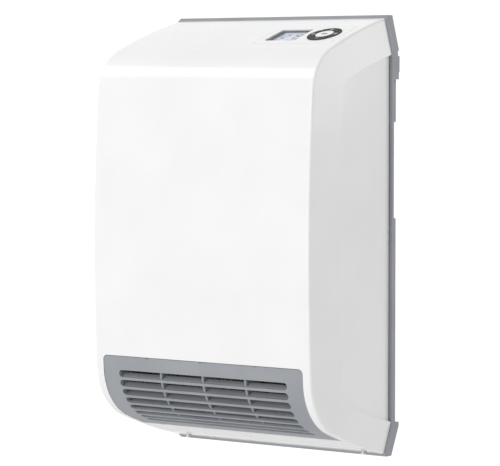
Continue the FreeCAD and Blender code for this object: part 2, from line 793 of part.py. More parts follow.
def make_display_board():
    low = -d.board_depth - d.board_thick
    board = box("panel_right - panel_left", "panel_length", "board_thick",
                (d.panel_left, -d.panel_length / 2, low), PANEL)
    inset = 4
    corners = [(x, y) for x in (d.panel_left + inset, d.panel_right - inset)
               for y in (-d.panel_length / 2 + inset, d.panel_length / 2 - inset)]
    holes = [rod("screw_radius", "board_thick", (x, y, low), UP, PANEL) for x, y in corners]
    subpart(cut(board, *holes), "display_board")
    rise = "board_depth - wall - carrier_gap"
    posts = [rod("boss_radius", rise, (x, y, -d.board_depth), UP, PANEL) for x, y in corners]
    bores = [rod("screw_radius", rise, (x, y, -d.board_depth), UP, PANEL) for x, y in corners]
    left, length = d.panel_left + inset, d.panel_right - d.panel_left - inset * 2
    rails = [box(f"{length}", "sheet_metal", rise, (left, y - d.sheet_metal / 2, -d.board_depth), PANEL)
             for y in (corners[0][1], corners[1][1])]
    subpart(cut(fused(*posts, *rails), *bores), "board_carrier")
    screws = [screw("board_thick + 3", (x, y, low), UP, PANEL) for x, y in corners]
    subpart(fused(*screws), "board_screws")
    reach = (d.ring_radius + d.ring_inner) / 2
    places = [(0, 0), (reach, 0), (-reach, 0), (0, reach), (0, -reach)]
    switches = []
    for x, y in places:
        middle = d.ring_centre + x
        switches.append(box("boss_radius * 1.5", "boss_radius * 1.5", "1",
                            (middle - d.boss_radius * 0.75, y - d.boss_radius * 0.75, -d.board_depth),
                            PANEL))
        switches.append(rod("key_stem", "1.5", (middle, y, -d.board_depth), UP, PANEL))
    subpart(fused(*switches), "tact_switches")


# ---------------------------------------------------------------- fan and motor


def make_fan_drum():
    """End and middle discs joined by curved blades, with a hub at each end for the shafts."""
    count = int(d.blade_count)
    blades = []
    for index in range(count):
        turn = 360 / count * index
        middle = Vector(d.drum_radius - 1 - d.blade_depth / 2, 0)
        radius = d.blade_depth * 0.75
        outline = [
            arc(middle, radius, 35, 145),
            arc(middle, radius - d.blade_thick, 35, 145),
        ]
        outline += [
            Part.LineSegment(outline[0].StartPoint, outline[1].StartPoint),
            Part.LineSegment(outline[0].EndPoint, outline[1].EndPoint),
        ]
        blade = Part.Face(wire(outline)).extrude(Vector(0, 0, d.drum_length - d.disc_thick))
        blade.translate(Vector(0, -radius * 0.7, d.disc_thick / 2))
        blade.rotate(Vector(), Vector(0, 0, 1), turn)
        blades.append(blade)
    discs = []
    for step in range(5):
        place = Vector(0, 0, step * (d.drum_length - d.disc_thick) / 4)
        disc = Part.makeCylinder(d.drum_radius, d.disc_thick, place)
        if step in (1, 2, 3):
            disc = disc.cut(Part.makeCylinder(d.drum_radius - d.blade_depth - 3, d.disc_thick, place))
        discs.append(disc)
    hub_radius, hub_length = d.shaft_radius * 2.2, 12
    hubs = [
        Part.makeCylinder(hub_radius, hub_length, Vector(0, 0, 0)),
        Part.makeCylinder(hub_radius, hub_length, Vector(0, 0, d.drum_length - hub_length)),
    ]
    drum = discs[0].fuse(discs[1:] + hubs + blades)
    bore = Part.makeCylinder(d.shaft_radius, d.drum_length)
    drum = drum.cut(bore)
    turned = Placement(Vector(d.drum_start, 0, 0), SIDE_ON)
    shaped("fan_drum", drum, FAN * turned)


def make_fan_shafts():
    left = -d.plate_half - d.plate_thick - 5
    start = d.drum_start + 12
    subpart(rod("shaft_radius", f"{start - left}", (left, 0, 0), RIGHT, FAN), "fan_stub_shaft")
    begin = d.drum_start + d.drum_length - 12
    subpart(rod("shaft_radius", f"{132 - begin}", (begin, 0, 0), RIGHT, FAN), "motor_shaft")


def make_fan_bearing():
    start = -d.plate_half - d.plate_thick - 3
    bush = rod("bush_radius", "plate_thick + 5", (start, 0, 0), RIGHT, FAN)
    bore = rod("shaft_radius + running_gap", "plate_thick + 5", (start, 0, 0), RIGHT, FAN)
    subpart(cut(bush, bore), "fan_bearing_bush")
    outer = rod("bush_radius + 4", "plate_thick", (-d.plate_half - d.plate_thick, 0, 0), RIGHT, FAN)
    lip = rod("bush_radius + 5.5", "1", (-d.plate_half - d.plate_thick - 1, 0, 0), RIGHT, FAN)
    hole = rod("bush_radius", "plate_thick + 1", (-d.plate_half - d.plate_thick - 1, 0, 0), RIGHT, FAN)
    subpart(cut(fused(outer, lip), hole), "bearing_rubber_mount")


def make_end_plates():
    """Sheet-metal side walls of the air duct, with flanges to the tray and holes for the fan."""
    back = d.bracket_space + d.tray_plate + 0.1
    low, high = d.flange_low, d.flange_high
    for name, start, hole in (
        ("fan_end_plate_left", -d.plate_half - d.plate_thick, d.bush_radius + 4),
        ("fan_end_plate_right", d.plate_half, d.rotor_radius + 3),
    ):
        plate = new_body(name)
        outline = polygon([Vector(y, z) for y, z in DUCT_SIDE])
        pad(plate, "YZ_Plane", outline, "plate_thick", shift(start))
        circle = [Part.Circle(Vector(-d.fan_back, d.fan_height), Vector(0, 0, 1), hole)]
        pocket(plate, "YZ_Plane", circle, "plate_thick", shift(start + d.plate_thick))
        left = start if start > 0 else start + d.plate_thick - d.flange_width
        flange = rectangle(left, low, left + d.flange_width, high)
        pad(plate, "XZ_Plane", flange, "plate_thick", shift(back))
        rear = rectangle(DUCT_SIDE[0][0], low, -back, high)
        pad(plate, "YZ_Plane", rear, "plate_thick", shift(start))


def make_fan_scroll():
    """The curved wall behind and under the drum, running forwards to the outlet's rear edge."""
    scroll = new_body("fan_scroll")
    centre = Vector(-d.fan_back, d.fan_height)
    inner, outer = d.scroll_radius, d.scroll_radius + d.sheet_metal
    run = Vector(-1, -1).normalize() * SCROLL_RUN
    arcs = [arc(centre, inner, -45, 75), arc(centre, outer, -45, 75)]
    edges = arcs + [
        Part.LineSegment(arcs[0].EndPoint, arcs[1].EndPoint),
        Part.LineSegment(arcs[0].StartPoint, arcs[0].StartPoint + run),
        Part.LineSegment(arcs[1].StartPoint, arcs[1].StartPoint + run),
        Part.LineSegment(arcs[0].StartPoint + run, arcs[1].StartPoint + run),
    ]
    pad(scroll, "YZ_Plane", edges, "plate_half * 2 - 0.2", shift(-d.plate_half + 0.1))
    guide = new_body("upper_air_guide")
    outline = polygon([Vector(y, z) for y, z in GUIDE_SIDE])
    pad(guide, "YZ_Plane", outline, "plate_half * 2 - 0.2", shift(-d.plate_half + 0.1))


def make_motor():
    start, end = d.stack_start, d.stack_start + d.stack
    half = d.stack_half
    offset = d.motor_screw_offset
    block = box("stack", "stack_half * 2", "stack_half * 2 + stack", (start, -half, -22), FAN)
    bore = rod("rotor_radius + air_gap", "stack", (start, 0, 0), RIGHT, FAN)
    window = box("stack", "stack_half + 4", "stack", (start, -15, 17), FAN)
    bolts = [rod("motor_screw", "stack", (start, y, 0), RIGHT, FAN) for y in (-offset, offset)]
    subpart(cut(block, bore, window, *bolts), "motor_stator")
    coil = box("stack + 5", "stack_half + 3", "stack_half + 7", (start - 2.5, -14.5, 20), FAN)
    leg = box("stack", "stack_half * 2", "stack", (start, -half, 30), FAN)
    subpart(cut(coil, leg), "motor_coil")
    rotor = rod("rotor_radius", "stack - 1", (start + 0.5, 0, 0), RIGHT, FAN)
    hole = rod("shaft_radius", "stack - 1", (start + 0.5, 0, 0), RIGHT, FAN)
    subpart(cut(rotor, hole), "motor_rotor")
    thick = d.strap_thick
    bushes, screws, spacers = [], [], []
    for name, x, bush_start in (
        ("motor_strap_inner", start - thick, start - d.bush_length - 0.1),
        ("motor_strap_outer", end, end + 0.1),
    ):
        strap = box("strap_thick", "stack_half * 2", "strap_height", (x, -half, -d.strap_height / 2), FAN)
        seat = rod("bush_radius", "strap_thick", (x, 0, 0), RIGHT, FAN)
        holes = [rod("motor_screw", "strap_thick", (x, y, 0), RIGHT, FAN) for y in (-offset, offset)]
        subpart(cut(strap, seat, *holes), name)
        bush = rod("bush_radius", "bush_length", (bush_start, 0, 0), RIGHT, FAN)
        running = rod("shaft_radius + running_gap", "bush_length", (bush_start, 0, 0), RIGHT, FAN)
        bushes.append(cut(bush, running))
    subpart(fused(*bushes), "motor_bearing_bushes")
    plate = d.plate_half + d.plate_thick
    for y in (-offset, offset):
        length = f"{end + thick - plate}"
        screws.append(rod("motor_screw", length, (plate, y, 0), RIGHT, FAN))
        screws.append(rod("motor_screw * 1.8", "head_height", (end + thick, y, 0), RIGHT, FAN))
        spacer = rod("boss_radius", f"{start - thick - plate}", (plate, y, 0), RIGHT, FAN)
        bolt = rod("motor_screw", f"{start - thick - plate}", (plate, y, 0), RIGHT, FAN)
        spacers.append(cut(spacer, bolt))
    subpart(fused(*screws), "motor_screws")
    subpart(fused(*spacers), "motor_spacers")


# ---------------------------------------------------------------- heating


def make_heating_core():
    half = d.plate_half - 0.1
    y = -d.frame_depth / 2
    border = d.frame_border
    frame = box("plate_half * 2 - 0.2", "frame_depth", "frame_low + frame_high",
                (-half, y, -d.frame_low), FLOW)
    window = box("(plate_half - 0.1 - frame_border) * 2", "frame_depth",
                 "frame_low + frame_high - frame_border * 2", (-half + border, y, -d.frame_low + border),
                 FLOW)
    subpart(cut(frame, window), "heater_frame")
    width = half - border
    low, high = -d.frame_low + border, d.frame_high - border
    rows = 3
    bar = d.core_bar
    cell = (high - low - bar * (rows + 1)) / rows
    outline = wire(rectangle(-width, low, width, high))
    holes = []
    count = int((width * 2 - d.fin_pitch) / d.fin_pitch)
    first = -count * d.fin_pitch / 2
    for row in range(rows):
        base = low + bar + row * (cell + bar)
        for column in range(count):
            left = first + column * d.fin_pitch + d.fin_thick / 2
            holes.append(wire(rectangle(left, base, left + d.fin_pitch - d.fin_thick, base + cell)))
    core = Part.makeFace([outline] + holes, "Part::FaceMakerBullseye").extrude(Vector(0, 0, d.core_depth))
    upright = Placement(Vector(0, d.core_depth / 2, 0), Rotation(Vector(1, 0, 0), 90))
    shaped("heating_core", core, FLOW * upright)


def make_thermal_cutout():
    x, y, z = -60, -8, d.frame_high + 8
    can = rod("bush_radius + 2", "bush_length", (x, y, z), UP, FLOW)
    tabs = [box("1", "0.8", "8", (x + side * 3 - 0.5, y, z + d.bush_length), FLOW) for side in (-1, 1)]
    subpart(fused(can, *tabs), "thermal_cutout")


def make_heat_shield():
    z = d.shield_height
    sheet_plate = box("plate_half * 2 + 16", "drum_radius * 3", "1", (-d.plate_half - 8, -98, z))
    flange = box("plate_half * 2 + 16", "1", "flange * 2", (-d.plate_half - 8, -15, z))
    lip = box("plate_half * 2 + 16", "1", "flange", (-d.plate_half - 8, -98, z - d.flange))
    subpart(fused(sheet_plate, flange, lip), "heat_shield")


# ---------------------------------------------------------------- electrics


def make_power_board():
    front = -d.bracket_space - d.tray_plate - d.boss_length
    left, low = d.power_left, d.power_bottom
    board = box("power_width", "board_thick", "power_height", (left, front - d.board_thick, low))
    holes = [rod("screw_radius", "board_thick", (x, front, z), FORWARD) for x, z in board_corners()]
    subpart(cut(board, *holes), "power_board")
    face = front - d.board_thick
    screws = [screw("board_thick", (x, face, z), (0, 1, 0)) for x, z in board_corners()]
    subpart(fused(*screws), "board_fixing_screws")
    for name, (block_size, places) in BOARD_BLOCKS.items():
        length, reach, height = block_size
        blocks = [box(f"{length}", f"{reach}", f"{height}", (left + x, face - reach, low + z))
                  for x, z in places]
        subpart(fused(*blocks) if len(blocks) > 1 else blocks[0], name)
    x, z = left + SINK_PLACE[0], low + SINK_PLACE[1]
    pieces = [box(f"{SINK_LENGTH}", f"{SINK_REACH}", f"{SINK_FOOT}", (x, face - SINK_REACH, z))]
    for step in range(FIN_COUNT):
        corner = (x + step * FIN_PITCH, face - SINK_REACH, z + SINK_FOOT)
        pieces.append(box(f"{FIN_THICK}", f"{SINK_REACH}", f"{SINK_FIN}", corner))
    subpart(fused(*pieces), "triac_heat_sink")


def make_terminals():
    """The terminal block on the tray, and the saddle that clamps the cable below it."""
    face = -d.bracket_space - d.tray_plate
    inwards = (0, 1, 0)
    length, reach, height = BLOCK_SIZE
    left = d.cable_x - length / 2
    block = box(f"{length}", f"{reach}", f"{height}", (left, face - reach, BLOCK_HEIGHT))
    poles = [left + POLE_START + step * POLE_PITCH for step in range(3)]
    places = [(x, BLOCK_HEIGHT + rise) for x in poles for rise in POLE_ROWS]
    wells = [rod("head_radius + 0.4", "6", (x, face - reach, z), inwards) for x, z in places]
    entries = [rod("head_radius", "7", (x, face - 6, BLOCK_HEIGHT), UP) for x in poles]
    subpart(cut(block, *wells, *entries), "terminal_block")
    heads = [rod("head_radius", "2.5", (x, face - reach + 3.5, z), inwards) for x, z in places]
    subpart(fused(*heads), "terminal_screws")
    length, reach, height = CLAMP_SIZE
    saddle = box(f"{length}", f"{reach}", f"{height}", (d.cable_x - length / 2, face - reach, CLAMP_HEIGHT))
    groove = rod("cable_radius", f"{height}", (d.cable_x, face - reach / 2, CLAMP_HEIGHT), UP)
    middle = CLAMP_HEIGHT + height / 2
    ends = [d.cable_x + side * CLAMP_SCREW_X for side in (-1, 1)]
    holes = [rod("screw_radius", f"{reach}", (x, face, middle), FORWARD) for x in ends]
    subpart(cut(saddle, groove, *holes), "cable_clamp")
    screws = [screw(f"{reach}", (x, face - reach, middle), inwards) for x in ends]
    subpart(fused(*screws), "clamp_screws")


def make_cable_grommet():
    """The cable inlet in the back wall: a rubber ring with a flange on each side of the plate."""
    rear = -d.bracket_space
    start = (d.cable_x, rear + 1.5, d.cable_height)
    sleeve = rod("grommet_radius", "tray_plate + 3", start, FORWARD)
    rear_flange = rod("grommet_flange", "1.5", start, FORWARD)
    front_flange = rod("grommet_flange", "1.5", (d.cable_x, rear - d.tray_plate, d.cable_height), FORWARD)
    bore = rod("cable_radius", "tray_plate + 3", start, FORWARD)
    subpart(cut(fused(sleeve, rear_flange, front_flange), bore), "cable_grommet")


def make_room_sensor():
    face = -d.bracket_space - d.tray_plate
    holder = box("16", "8", "10", (-108, face - 8, 26))
    well = rod("cable_radius / 2", "10", (-100, face - 4, 26), UP)
    subpart(cut(holder, well), "sensor_holder")
    subpart(rod("cable_radius / 2", "14", (-100, face - 4, 22), UP), "room_sensor")


def make_cover_screws():
    """Screws up through the underside of the cover into the tray's two tabs."""
    back = d.cover_screw_back - d.head_radius - d.rim_depth
    start = d.under_rear + back * math.tan(math.radians(d.under_slope))
    length = f"tab_height + tab_thick - {start}"
    screws = [screw(length, (x, -d.cover_screw_back, start), UP) for x in (-d.cover_screw_x, d.cover_screw_x)]
    subpart(fused(*screws), "cover_screws")


make_front_cover()
make_back_tray()
make_wall_bracket()
make_outlet_grille()
make_inner_guard()
make_control_panel()
make_keys()
make_display_board()
make_fan_drum()
make_fan_shafts()
make_fan_bearing()
make_end_plates()
make_fan_scroll()
make_motor()
make_heating_core()
make_thermal_cutout()
make_heat_shield()
make_power_board()
make_terminals()
make_cable_grommet()
make_room_sensor()
make_cover_screws()

doc.recompute()
for item in doc.Objects:
    if "Invalid" in item.State or "Error" in item.State:
        raise RuntimeError(f"{item.Label} ({item.Name}) failed: {item.State}")
    if item.isDerivedFrom("PartDesign::Pocket") and item.Shape.Volume >= item.BaseFeature.Shape.Volume:
        raise RuntimeError(f"{item.Name} removed nothing")
os.makedirs("parts", exist_ok=True)
for item in SUBPARTS:
    shape = item.Shape
    if shape.isNull() or not shape.isValid():
        raise RuntimeError(f"{item.Label} has no valid shape")
    shape.exportStep(f"parts/{item.Label}.step")
    print(item.Label, len(shape.Solids), round(shape.Volume, 1))
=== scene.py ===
import json
import math

import bmesh
import bpy
from mathutils import Matrix, Vector


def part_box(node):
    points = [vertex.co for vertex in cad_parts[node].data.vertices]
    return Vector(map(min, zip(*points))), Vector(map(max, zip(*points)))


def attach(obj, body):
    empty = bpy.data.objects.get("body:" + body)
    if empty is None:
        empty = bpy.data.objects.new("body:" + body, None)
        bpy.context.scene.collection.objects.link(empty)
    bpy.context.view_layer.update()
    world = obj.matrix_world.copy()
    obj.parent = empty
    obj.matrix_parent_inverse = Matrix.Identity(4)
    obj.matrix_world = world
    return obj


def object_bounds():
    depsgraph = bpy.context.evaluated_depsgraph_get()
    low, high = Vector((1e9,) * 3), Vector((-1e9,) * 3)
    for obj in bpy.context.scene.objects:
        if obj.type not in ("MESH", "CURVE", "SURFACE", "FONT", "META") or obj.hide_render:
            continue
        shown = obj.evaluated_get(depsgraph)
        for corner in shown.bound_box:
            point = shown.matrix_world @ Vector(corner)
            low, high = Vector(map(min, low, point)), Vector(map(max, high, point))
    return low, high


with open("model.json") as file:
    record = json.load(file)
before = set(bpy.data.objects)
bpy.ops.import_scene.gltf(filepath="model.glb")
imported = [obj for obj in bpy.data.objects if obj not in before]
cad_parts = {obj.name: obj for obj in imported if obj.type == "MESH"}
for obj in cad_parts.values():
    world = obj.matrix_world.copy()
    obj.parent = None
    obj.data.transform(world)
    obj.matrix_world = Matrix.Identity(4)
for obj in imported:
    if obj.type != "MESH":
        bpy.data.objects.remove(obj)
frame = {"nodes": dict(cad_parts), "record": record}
bpy.context.view_layer.update()
CAD_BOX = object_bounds()

MM = 0.001
HEATER = "heater"

# The control panel lies on the cover's sloping top, and the keys are pressed square to it. Drops
# and heights are from the panel's surface at its middle.
JOINTS = {joint["name"]: joint for joint in frame["record"]["behaviour"]["joints"]}
PRESS_AXIS = JOINTS["key_centre_press"]["axis"]
TOP_SLOPE = math.atan2(PRESS_AXIS[1], -PRESS_AXIS[2])
LENS_MIDDLE_DROP = 0.75 * MM
MODULE_DROP = 3.0 * MM
KEY_PROUD = 0.6 * MM
PRINT_THICK = 0.04 * MM

# The camera stands nearly three metres away with a long lens, off to one side and looking down a
# little. Angles are in degrees and the lens is in millimetres.
CAMERA_SPOT = (1.7496, -2.2900, 0.0321)
CAMERA_PITCH = -2.96
CAMERA_YAW = 38.1
CAMERA_LENS = 208.3

# The surround's brightness, how much brighter it is straight behind the heater, the direction
# from the camera to there, and how far round the lift starts and is full, as cosines.
SURROUND = 0.67
BACKDROP_LIFT = 0.40
BACKDROP_WAY = (-0.616, 0.787, 0)
LIFT_START, LIFT_FULL = 0.3, 0.95

FLOOR_DROP = 1.5
FLOOR_RADIUS = 5.0

# Each soft light's place, width and height in metres, and power in watts.
SOFT_LIGHTS = {
    "front_light": ((-0.6, -3.0, 0.3), 2.0, 2.0, 28),
    "shoulder_light": ((-1.9, -1.6, 2.0), 2.6, 0.8, 13.5),
    "side_light": ((2.2, 2.0, 0.7), 1.5, 1.5, 9),
    "top_light": ((0, -2.0, 2.2), 2.0, 1.2, 3),
}
LIGHT_AIM = (0, 0, -0.1)

# Which of a digit's seven segments are on: top, upper right, lower right, bottom, lower left,
# upper left, middle.
DIGITS = {"0": "1111110", "1": "0110000", "2": "1101101", "5": "1011011"}

# A digit's width as a share of its height; the gap at a segment's ends and the size of the decimal
# point as shares of the stroke's width.
DIGIT_SHAPE = 0.52
SEGMENT_GAP = 0.12
POINT_SIZE = 1.2

# How many straight pieces make a stroke's round end and a small ring.
ROUND_END_STEPS = 6
CIRCLE_PARTS = 12

# The way from the centre key to each of the four keys round it, in the panel's X and Y.
KEY_WAYS = {"key_right": (1, 0), "key_up": (0, 1), "key_left": (-1, 0), "key_down": (0, -1)}


# ---------------------------------------------------------------- shader helpers


def new_shader(name):
    """A material with only its Principled shader and output."""
    material = bpy.data.materials.new(name)
    material.use_nodes = True
    tree = material.node_tree
    return material, tree, tree.nodes["Principled BSDF"]


def fill(tree, node, inputs):
    """Link the inputs given as sockets, and set the others."""
    for name, value in inputs.items():
        if isinstance(value, bpy.types.NodeSocket):
            tree.links.new(value, node.inputs[name])
        else:
            node.inputs[name].default_value = value
    return node


def add(tree, kind, inputs, **settings):
    """A shader node; inputs given as sockets are linked, and the others are set."""
    node = tree.nodes.new("ShaderNode" + kind)
    for name, value in settings.items():
        setattr(node, name, value)
    return fill(tree, node, inputs)


def place(tree, stretch=(1, 1, 1), turn=(0, 0, 0)):
    """Object coordinates in metres, stretched along the axes and turned."""
    where = add(tree, "TexCoord", {}).outputs["Object"]
    if stretch == (1, 1, 1) and turn == (0, 0, 0):
        return where
    return add(tree, "Mapping", {"Vector": where, "Scale": stretch, "Rotation": turn}).outputs["Vector"]


def noise(tree, scale, detail=2.0, where=None):
    """Cloudy noise that varies about 0.5."""
    inputs = {"Vector": where or place(tree), "Scale": scale, "Detail": detail}
    return add(tree, "TexNoise", inputs).outputs["Fac"]


def cells(tree, scale, where=None):
    """A random value for each Voronoi cell."""
    inputs = {"Vector": where or place(tree), "Scale": scale}
    colour = add(tree, "TexVoronoi", inputs).outputs["Color"]
    return add(tree, "SeparateColor", {"Color": colour}).outputs["Red"]


def ranged(tree, value, low, high, start=0.3, end=0.7):
    """A value between two limits for a noise that stays between start and end."""
    inputs = {"Value": value, "From Min": start, "From Max": end, "To Min": low, "To Max": high}
    return add(tree, "MapRange", inputs).outputs["Result"]


def blended(tree, factor, first, second):
    """A colour between two colours."""
    node = add(tree, "Mix", {}, data_type="RGBA")
    tree.links.new(factor, node.inputs["Factor"])
    node.inputs["A"].default_value = (*first, 1)
    node.inputs["B"].default_value = (*second, 1)
    for socket in node.outputs:
        if socket.type == "RGBA":
            return socket


def relief(tree, shader, height, depth, strength=1.0):
    """Bump from a height between 0 and 1, this many metres deep."""
    node = add(tree, "Bump", {"Height": height, "Distance": depth, "Strength": strength})
    tree.links.new(node.outputs["Normal"], shader.inputs["Normal"])


def summed(tree, first, second, share):
    """The first value plus a share of the second."""
    inputs = {0: second, 1: share, 2: first}
    return add(tree, "Math", inputs, operation="MULTIPLY_ADD").outputs[0]


# ---------------------------------------------------------------- materials


def gloss_white():
    """Injection-moulded gloss casing: faint flow clouding and a very fine moulded ripple."""
    material, tree, shader = new_shader("gloss_white")
    cloud = ranged(tree, noise(tree, 14, 3), 0, 1)
    colour = blended(tree, cloud, (0.86, 0.865, 0.865), (0.90, 0.90, 0.895))
    roughness = ranged(tree, noise(tree, 180, 3), 0.16, 0.24)
    fill(tree, shader, {"Base Color": colour, "Roughness": roughness, "Coat Weight": 0.35,
                        "Coat Roughness": 0.06, "IOR": 1.49})
    ripple = summed(tree, noise(tree, 260, 1), noise(tree, 2400, 1), 0.15)
    relief(tree, shader, ripple, 0.012 * MM)
    return material


def satin_grey():
    """Spark-eroded satin moulding in mid grey."""
    material, tree, shader = new_shader("satin_grey")
    cloud = ranged(tree, noise(tree, 22, 3), 0, 1)
    colour = blended(tree, cloud, (0.29, 0.305, 0.33), (0.33, 0.345, 0.365))
    grain = noise(tree, 2600, 2)
    fill(tree, shader, {"Base Color": colour, "Roughness": ranged(tree, grain, 0.42, 0.58)})
    relief(tree, shader, grain, 0.03 * MM)
    return material


def satin_charcoal():
    """Dark key and bezel moulding, fine-grained and with little shine."""
    material, tree, shader = new_shader("satin_charcoal")
    grain = noise(tree, 3000, 2)
    cloud = ranged(tree, noise(tree, 90, 2), 0, 1)
    colour = blended(tree, cloud, (0.028, 0.029, 0.032), (0.04, 0.041, 0.045))
    fill(tree, shader, {"Base Color": colour, "Roughness": ranged(tree, grain, 0.5, 0.64),
                        "Specular IOR Level": 0.25})
    relief(tree, shader, grain, 0.02 * MM)
    return material


def clear_lens():
    """Flat acrylic window: mostly clear, with a polished surface and faint haze."""
    material, tree, shader = new_shader("clear_lens")
    haze = ranged(tree, noise(tree, 240, 3), 0.03, 0.08)
    colour = blended(tree, noise(tree, 60, 2), (0.75, 0.82, 0.88), (0.82, 0.87, 0.92))
    fill(tree, shader, {"Base Color": colour, "Roughness": haze, "IOR": 1.49, "Alpha": 0.10})
    return material


def liquid_crystal():
    """Pale blue reflective display with its fine segment lattice and a faint painted glow that brightens
    it.
    """
    material, tree, shader = new_shader("liquid_crystal")
    turned = place(tree, turn=(-TOP_SLOPE, 0, 0))
    lattice = add(tree, "TexBrick", {"Vector": turned, "Scale": 1900.0, "Mortar Size": 0.04,
                                     "Color1": (0.70, 0.74, 0.88, 1), "Color2": (0.73, 0.77, 0.90, 1),
                                     "Mortar": (0.62, 0.67, 0.82, 1)}, offset=0.0)
    # Painted glow: a faint emission that brightens the reflective display, which is no lamp.
    painted_glow = ranged(tree, noise(tree, 55, 2), 0.10, 0.16)
    fill(tree, shader, {"Base Color": lattice.outputs["Color"], "Roughness": 0.3,
                        "Emission Color": lattice.outputs["Color"], "Emission Strength": painted_glow})
    return material


def display_ink():
    """The dark segments of the display."""
    material, tree, shader = new_shader("display_ink")
    colour = blended(tree, noise(tree, 900, 2), (0.05, 0.07, 0.12), (0.08, 0.10, 0.16))
    fill(tree, shader, {"Base Color": colour, "Roughness": 0.35})
    return material


def pad_print(name, dark, light):
    """Pad-printed ink that covers slightly unevenly."""
    material, tree, shader = new_shader(name)
    cover = noise(tree, 1600, 3)
    fill(tree, shader, {"Base Color": blended(tree, cover, dark, light),
                        "Roughness": ranged(tree, cover, 0.4, 0.6)})
    relief(tree, shader, cover, 0.01 * MM)
    return material


def galvanised_sheet():
    """Hot-dip zinc with its crystal spangle."""
    material, tree, shader = new_shader("galvanised_sheet")
    spangle = cells(tree, 150)
    colour = blended(tree, spangle, (0.42, 0.43, 0.45), (0.58, 0.59, 0.60))
    smear = noise(tree, 90, 4, place(tree, (1, 1, 6)))
    fill(tree, shader, {"Base Color": colour, "Metallic": 0.85,
                        "Roughness": ranged(tree, smear, 0.3, 0.5)})
    relief(tree, shader, summed(tree, spangle, noise(tree, 1400, 2), 0.5), 0.015 * MM)
    return material


def coated_wire():
    """Wire and strip under a dark powder coat."""
    material, tree, shader = new_shader("coated_wire")
    speckle = noise(tree, 1500, 3)
    fill(tree, shader, {"Base Color": blended(tree, speckle, (0.035, 0.035, 0.038), (0.06, 0.06, 0.063)),
                        "Roughness": ranged(tree, speckle, 0.4, 0.6)})
    relief(tree, shader, speckle, 0.03 * MM)
    return material


def brushed(name, dark, light, stretch, roughness, scale=260):
    """Bare metal with fine lines along the axis that is stretched least."""
    material, tree, shader = new_shader(name)
    lines = noise(tree, scale, 4, place(tree, stretch))
    fill(tree, shader, {"Base Color": blended(tree, ranged(tree, lines, 0, 1), dark, light),
                        "Metallic": 1.0,
                        "Roughness": ranged(tree, lines, roughness - 0.08, roughness + 0.1)})
    relief(tree, shader, lines, 0.01 * MM)
    return material


def sintered_bronze():
    """Porous bearing bronze with its grains showing."""
    material, tree, shader = new_shader("sintered_bronze")
    grains = cells(tree, 2200)
    fill(tree, shader, {"Base Color": blended(tree, grains, (0.40, 0.25, 0.11), (0.58, 0.38, 0.18)),
                        "Metallic": 0.9, "Roughness": ranged(tree, grains, 0.4, 0.6, 0, 1)})
    relief(tree, shader, grains, 0.04 * MM)
    return material


def moulded_rubber():
    """Black rubber with a patchy pale bloom."""
    material, tree, shader = new_shader("moulded_rubber")
    bloom = ranged(tree, noise(tree, 160, 4), 0, 1)
    fill(tree, shader, {"Base Color": blended(tree, bloom, (0.018, 0.018, 0.019), (0.04, 0.04, 0.041)),
                        "Roughness": ranged(tree, bloom, 0.65, 0.85, 0, 1)})
    relief(tree, shader, noise(tree, 1200, 2), 0.04 * MM)
    return material


def laminated_stack():
    """Motor core: half-millimetre steel sheets stacked along X, with their edges showing."""
    material, tree, shader = new_shader("laminated_stack")
    sheets = add(tree, "TexWave", {"Vector": place(tree), "Scale": 320.0, "Distortion": 0.4,
                                   "Detail": 2.0}, bands_direction="X").outputs["Fac"]
    rust = ranged(tree, noise(tree, 120, 4), 0, 1, 0.55, 0.75)
    colour = blended(tree, rust, (0.16, 0.165, 0.175), (0.22, 0.15, 0.10))
    fill(tree, shader, {"Base Color": colour, "Metallic": 0.6,
                        "Roughness": ranged(tree, sheets, 0.4, 0.6, 0, 1)})
    relief(tree, shader, sheets, 0.06 * MM)
    return material


def taped_coil():
    """Winding under overlapping turns of amber tape."""
    material, tree, shader = new_shader("taped_coil")
    wave = {"Vector": place(tree, turn=(0, 0.5, 0)), "Scale": 60.0, "Distortion": 0.6}
    wraps = add(tree, "TexWave", wave, bands_direction="Z", wave_profile="SAW").outputs["Fac"]
    fill(tree, shader, {"Base Color": blended(tree, wraps, (0.50, 0.30, 0.04), (0.68, 0.45, 0.09)),
                        "Roughness": 0.32, "Coat Weight": 0.3})
    relief(tree, shader, wraps, 0.12 * MM)
    return material


def bright_zinc():
    """Zinc-plated screws with a faint yellow cast in places."""
    material, tree, shader = new_shader("bright_zinc")
    cloud = noise(tree, 500, 3)
    fill(tree, shader, {"Base Color": blended(tree, cloud, (0.56, 0.57, 0.60), (0.72, 0.71, 0.66)),
                        "Metallic": 1.0, "Roughness": ranged(tree, cloud, 0.2, 0.34)})
    relief(tree, shader, noise(tree, 1800, 2), 0.015 * MM)
    return material


def black_moulding():
    """Glass-filled black moulding with its fibres just showing."""
    material, tree, shader = new_shader("black_moulding")
    fibres = noise(tree, 900, 4, place(tree, (1, 3, 1)))
    fill(tree, shader, {"Base Color": blended(tree, fibres, (0.02, 0.02, 0.02), (0.045, 0.045, 0.043)),
                        "Roughness": ranged(tree, fibres, 0.5, 0.7)})
    relief(tree, shader, fibres, 0.03 * MM)
    return material


def finned_core():
    """Aluminium fins, slightly straw-coloured where the element has run hot."""
    material, tree, shader = new_shader("finned_core")
    heat = ranged(tree, noise(tree, 40, 3), 0, 1)
    fill(tree, shader, {"Base Color": blended(tree, heat, (0.55, 0.55, 0.56), (0.60, 0.55, 0.46)),
                        "Metallic": 1.0, "Roughness": ranged(tree, noise(tree, 700, 3), 0.34, 0.5)})
    relief(tree, shader, noise(tree, 1500, 2), 0.02 * MM)
    return material


